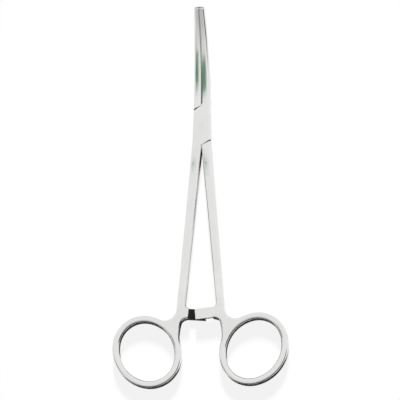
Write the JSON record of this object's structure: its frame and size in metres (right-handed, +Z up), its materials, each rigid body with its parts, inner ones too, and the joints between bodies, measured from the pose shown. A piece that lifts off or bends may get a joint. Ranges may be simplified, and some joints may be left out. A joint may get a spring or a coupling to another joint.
{
  "type": "hemostat forceps",
  "caption": "Curved locking forceps with finger rings, slim shanks, a toothed ratchet, a box lock on a flush rivet and blunt serrated jaws that clamp tissue or tubing.",
  "frame": {"origin": "on the pivot axis, in the underside plane of the lock and the finger rings", "axes": "the forceps lie flat: +Z up along the pivot axis, +Y from the finger rings towards the jaw tips, +X towards the ring of the tongue half; the jaws curve up to +Z"},
  "size_m": [0.0742, 0.1606, 0.0127],
  "materials": {
    "box_half": "satin to bright polished stainless steel",
    "tongue_half": "satin to bright polished stainless steel",
    "pivot_pin": "ground flush with the lock and polished with it"
  },
  "bodies": {
    "box_side": {"box_half": "box_half", "pivot_pin": "pivot_pin"},
    "tongue_side": {"tongue_half": "tongue_half"}
  },
  "joints": [
    {"name": "lock_hinge", "type": "hinge", "parent": "box_side", "child": "tongue_side", "pos_m": [0, 0, 0.0022], "axis": [0, 0, 1], "range_deg": [0, 60]}
  ]
}
